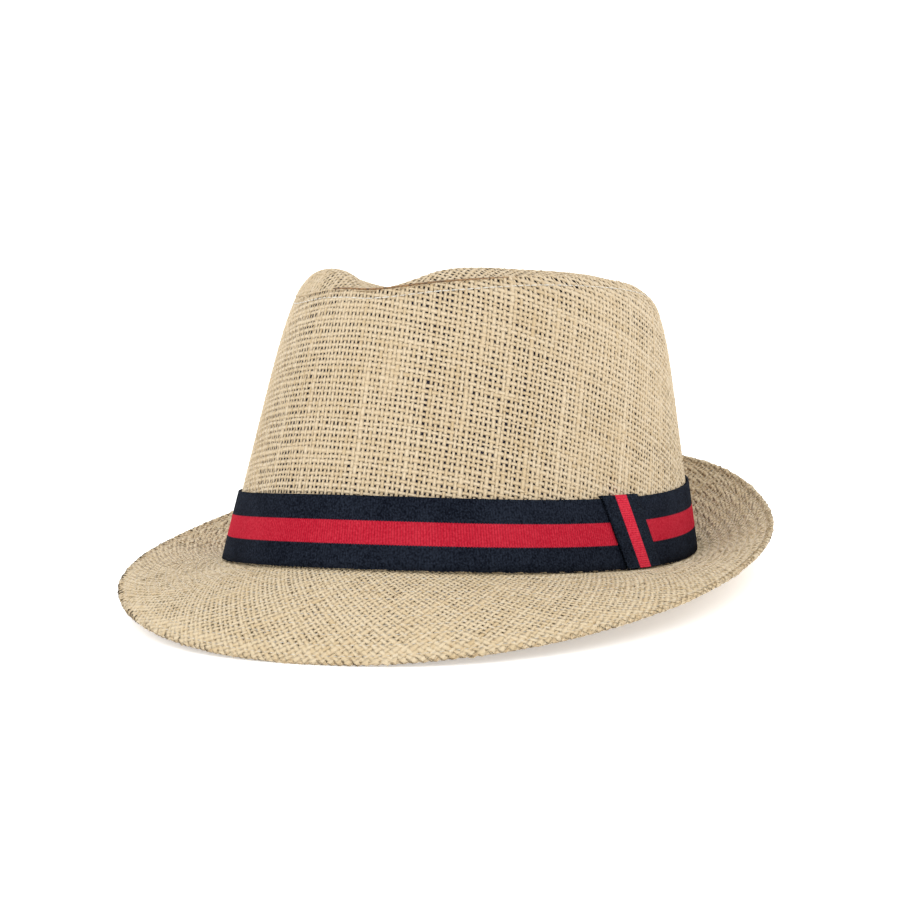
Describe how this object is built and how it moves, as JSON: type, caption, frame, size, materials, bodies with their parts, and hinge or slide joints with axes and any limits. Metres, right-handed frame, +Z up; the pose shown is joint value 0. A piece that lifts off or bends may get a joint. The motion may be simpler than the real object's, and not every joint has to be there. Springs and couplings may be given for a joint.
{
  "type": "straw trilby hat",
  "caption": "Short-brimmed trilby hat of woven paper straw with a centre-dented crown and a striped ribbon band, resting on a flat surface.",
  "frame": {"origin": "middle of the hat's footprint, on the surface that it rests on", "axes": "+Z up, -Y towards the front of the hat, +X towards the wearer's left; the hat rests tipped back by about 7 degrees"},
  "size_m": [0.2318, 0.2618, 0.1197],
  "materials": {
    "straw": "woven paper straw, stiffened, matt with a faint sheen",
    "ribbon": "ribbed grosgrain, navy with a red centre stripe",
    "thread": "pale sewing thread"
  },
  "bodies": {
    "root": {"crown_side": "straw", "crown_tip": "straw", "brim": "straw", "hat_band": "ribbon", "band_loop": "ribbon"}
  },
  "joints": []
}
